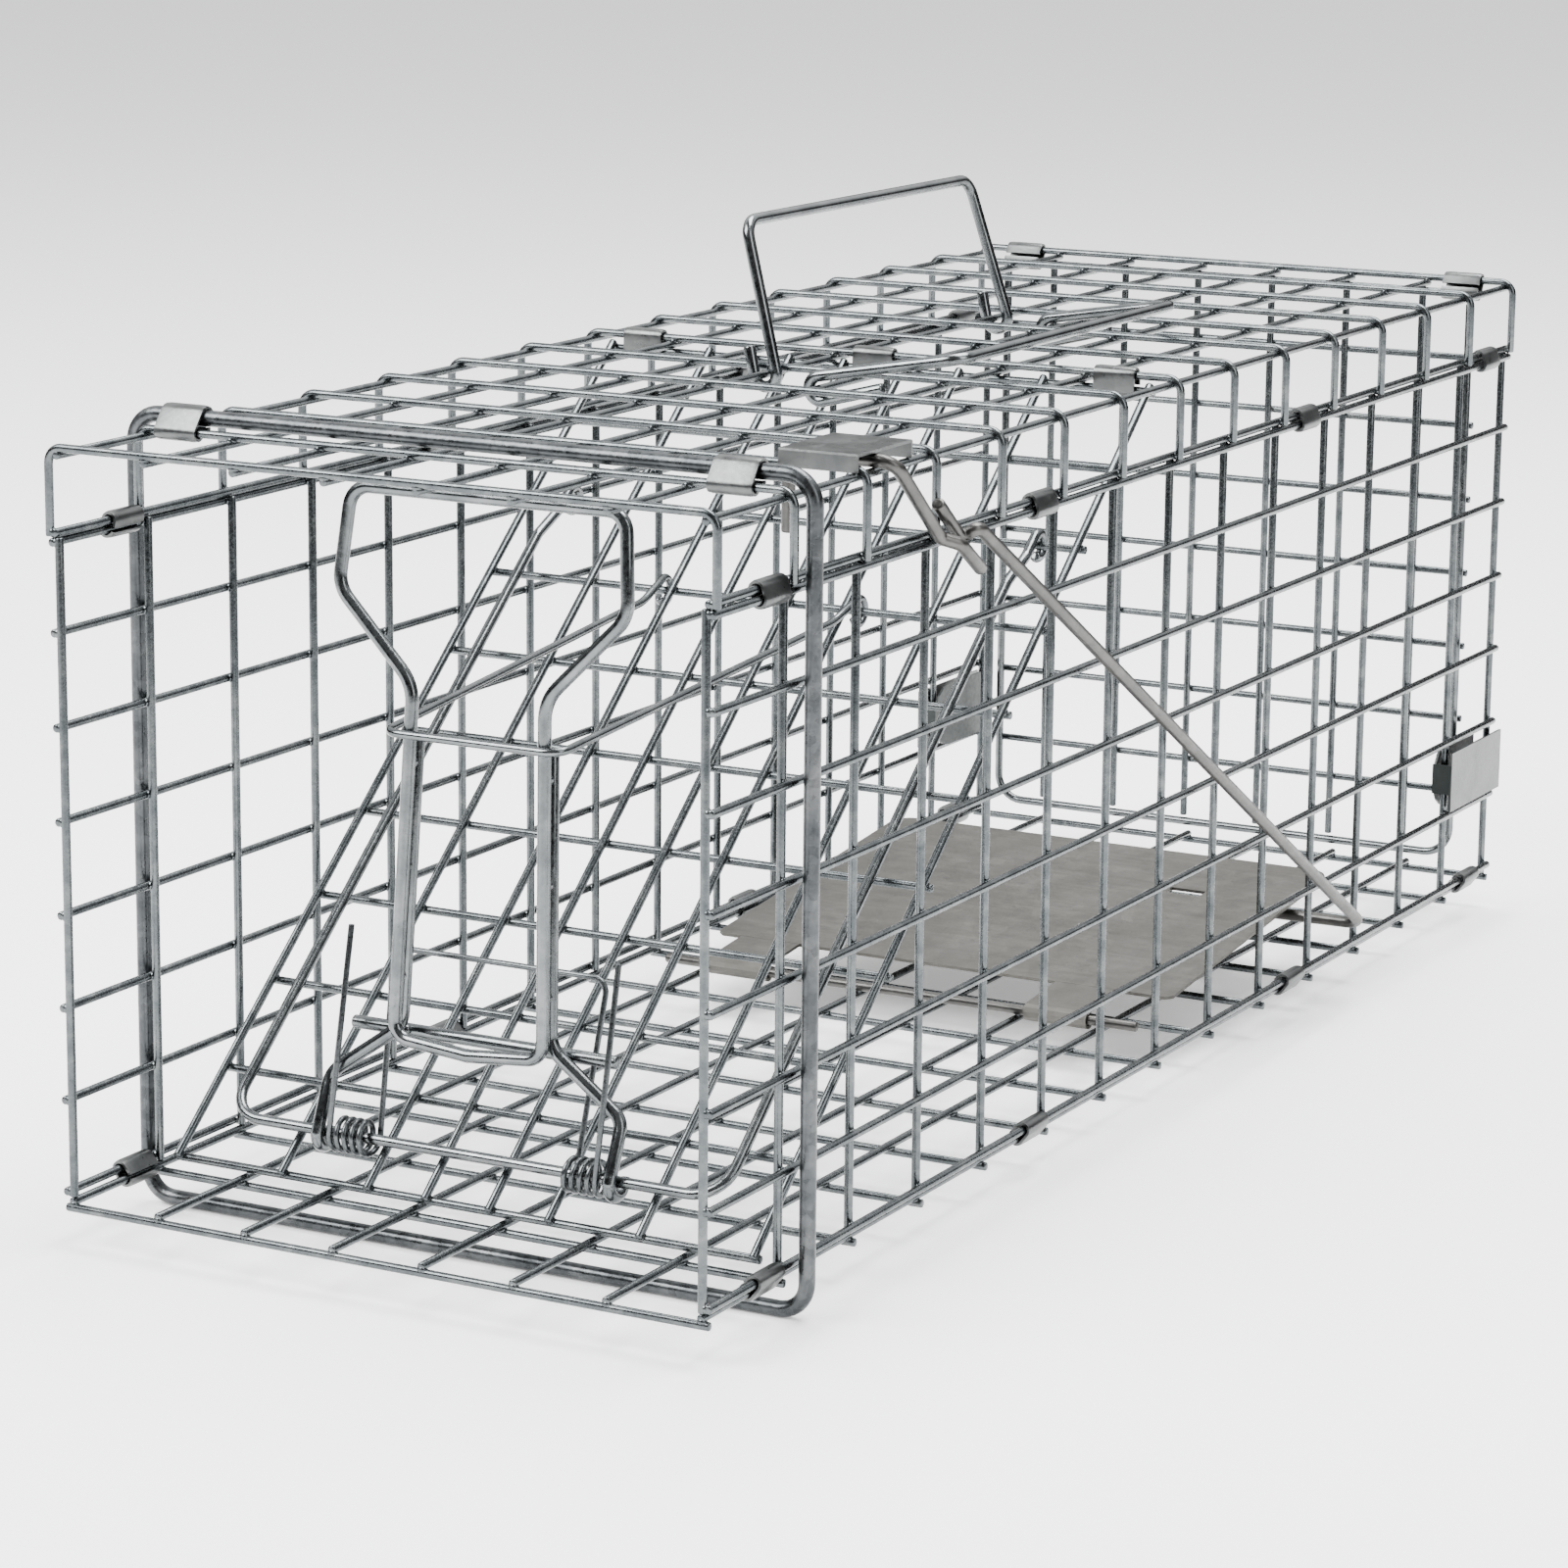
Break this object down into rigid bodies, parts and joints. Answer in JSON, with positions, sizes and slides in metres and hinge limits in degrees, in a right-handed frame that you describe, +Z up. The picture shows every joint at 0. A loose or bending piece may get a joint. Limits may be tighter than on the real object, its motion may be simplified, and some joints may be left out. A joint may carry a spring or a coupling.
{
  "type": "live catch trap",
  "caption": "Wire cage trap with a sloping front door under a sprung toggle lever, trigger pan with set rod and trigger rod, rear release door with sliding latches, and two carrying bails",
  "frame": {"origin": "centre of the bounding box in plan, at the lowest point, the underside of the front hoop", "axes": "+Y runs from the entrance to the rear door, +X towards the wall with the trigger rod, +Z up"},
  "size_m": [0.2146, 0.5534, 0.2603],
  "materials": {
    "zinc_wire": "bright zinc-plated drawn wire",
    "galvanised_bar": "mottled galvanised heavy wire",
    "zinc_sheet": "satin zinc-plated folded sheet",
    "steel_rod": "duller grey plated rod and spring wire",
    "pan_sheet": "warm grey galvanised sheet"
  },
  "bodies": {
    "cage": {"floor_panel": "zinc_wire", "left_wall_panel": "zinc_wire", "right_wall_panel": "zinc_wire", "roof_panel": "zinc_wire", "set_rod_bracket": "zinc_sheet", "pan_pivot_rod": "steel_rod", "clip_top_left_front": "zinc_sheet", "clip_bottom_left_front": "zinc_sheet", "clip_top_right_front": "zinc_sheet", "clip_bottom_right_front": "zinc_sheet", "clip_top_left_mid_front": "zinc_sheet", "clip_bottom_left_mid_front": "zinc_sheet", "clip_top_right_mid_front": "zinc_sheet", "clip_bottom_right_mid_front": "zinc_sheet", "clip_top_left_mid_rear": "zinc_sheet", "clip_bottom_left_mid_rear": "zinc_sheet", "clip_top_right_mid_rear": "zinc_sheet", "clip_bottom_right_mid_rear": "zinc_sheet", "clip_top_left_rear": "zinc_sheet", "clip_bottom_left_rear": "zinc_sheet", "clip_top_right_rear": "zinc_sheet", "clip_bottom_right_rear": "zinc_sheet", "clip_hoop_left": "zinc_sheet", "clip_hoop_right": "zinc_sheet", "clip_door_left": "zinc_sheet", "clip_door_middle": "zinc_sheet", "clip_door_right": "zinc_sheet", "clip_rear_left": "zinc_sheet", "clip_rear_right": "zinc_sheet"},
    "front_hoop": {"front_hoop": "galvanised_bar"},
    "front_door": {"door_mesh": "zinc_wire", "door_rod": "zinc_wire"},
    "door_lever": {"lever_frame": "zinc_wire", "lever_leg_left": "zinc_wire", "lever_leg_right": "zinc_wire", "lever_crossbar": "zinc_wire", "lever_spring": "steel_rod"},
    "lever_link": {"lever_link": "zinc_wire"},
    "set_rod": {"set_rod": "steel_rod"},
    "trigger_rod": {"trigger_rod": "steel_rod"},
    "trigger_pan": {"trigger_pan": "pan_sheet"},
    "handle_left": {"handle_left": "zinc_wire"},
    "handle_right": {"handle_right": "zinc_wire"},
    "rear_door": {"rear_mesh": "zinc_wire", "rear_rod": "zinc_wire"},
    "latch_left": {"latch_left": "zinc_sheet"},
    "latch_right": {"latch_right": "zinc_sheet"}
  },
  "joints": [
    {"name": "hoop_swing", "type": "hinge", "parent": "cage", "child": "front_hoop", "pos_m": [-0.0019, -0.23245, 0.22021], "axis": [-1, 0, 0], "range_deg": [0, 120]},
    {"name": "front_door_hinge", "type": "hinge", "parent": "cage", "child": "front_door", "pos_m": [-0.0019, -0.00125, 0.21221], "axis": [-1, 0, 0], "range_deg": [0, 12.35]},
    {"name": "lever_pivot", "type": "hinge", "parent": "front_door", "child": "door_lever", "pos_m": [-0.0019, -0.231, 0.02828], "axis": [-1, 0, 0], "range_deg": [0, 37.2], "deforming": ["lever_spring"]},
    {"name": "link_pivot", "type": "hinge", "parent": "front_door", "child": "lever_link", "pos_m": [-0.0019, -0.07149, 0.15319], "axis": [-1, 0, 0], "range_deg": [-27.4, 0]},
    {"name": "set_rod_turn", "type": "hinge", "parent": "cage", "child": "set_rod", "pos_m": [0.0781, -0.18925, 0.21786], "axis": [1, 0, 0], "range_deg": [-45, 0]},
    {"name": "pan_hinge", "type": "hinge", "parent": "cage", "child": "trigger_pan", "pos_m": [-0.0019, 0.01875, 0.01546], "axis": [-1, 0, 0], "range_deg": [0, 4]},
    {"name": "trigger_slide", "type": "slide", "parent": "cage", "child": "trigger_rod", "axis": [0, 0.8579, -0.5139], "range_m": [0, 0.0125]},
    {"name": "handle_left_swing", "type": "hinge", "parent": "cage", "child": "handle_left", "pos_m": [-0.0157, 0.03375, 0.21471], "axis": [0, 1, 0], "range_deg": [-56, 20]},
    {"name": "handle_right_swing", "type": "hinge", "parent": "cage", "child": "handle_right", "pos_m": [0.0119, 0.01525, 0.21471], "axis": [0, -1, 0], "range_deg": [0, 75]},
    {"name": "rear_door_hinge", "type": "hinge", "parent": "cage", "child": "rear_door", "pos_m": [-0.0019, 0.27075, 0.21231], "axis": [1, 0, 0], "range_deg": [0, 90]},
    {"name": "latch_left_slide", "type": "slide", "parent": "cage", "child": "latch_left", "axis": [0, -1, 0], "range_m": [0, 0.014]},
    {"name": "latch_right_slide", "type": "slide", "parent": "cage", "child": "latch_right", "axis": [0, -1, 0], "range_m": [0, 0.014]}
  ],
  "couplings": [
    {"joint": "lever_pivot", "follows": "front_door_hinge", "ratio": 3},
    {"joint": "link_pivot", "follows": "front_door_hinge", "ratio": -2.207},
    {"joint": "trigger_slide", "follows": "pan_hinge", "m_per_rad": 0.1719}
  ]
}
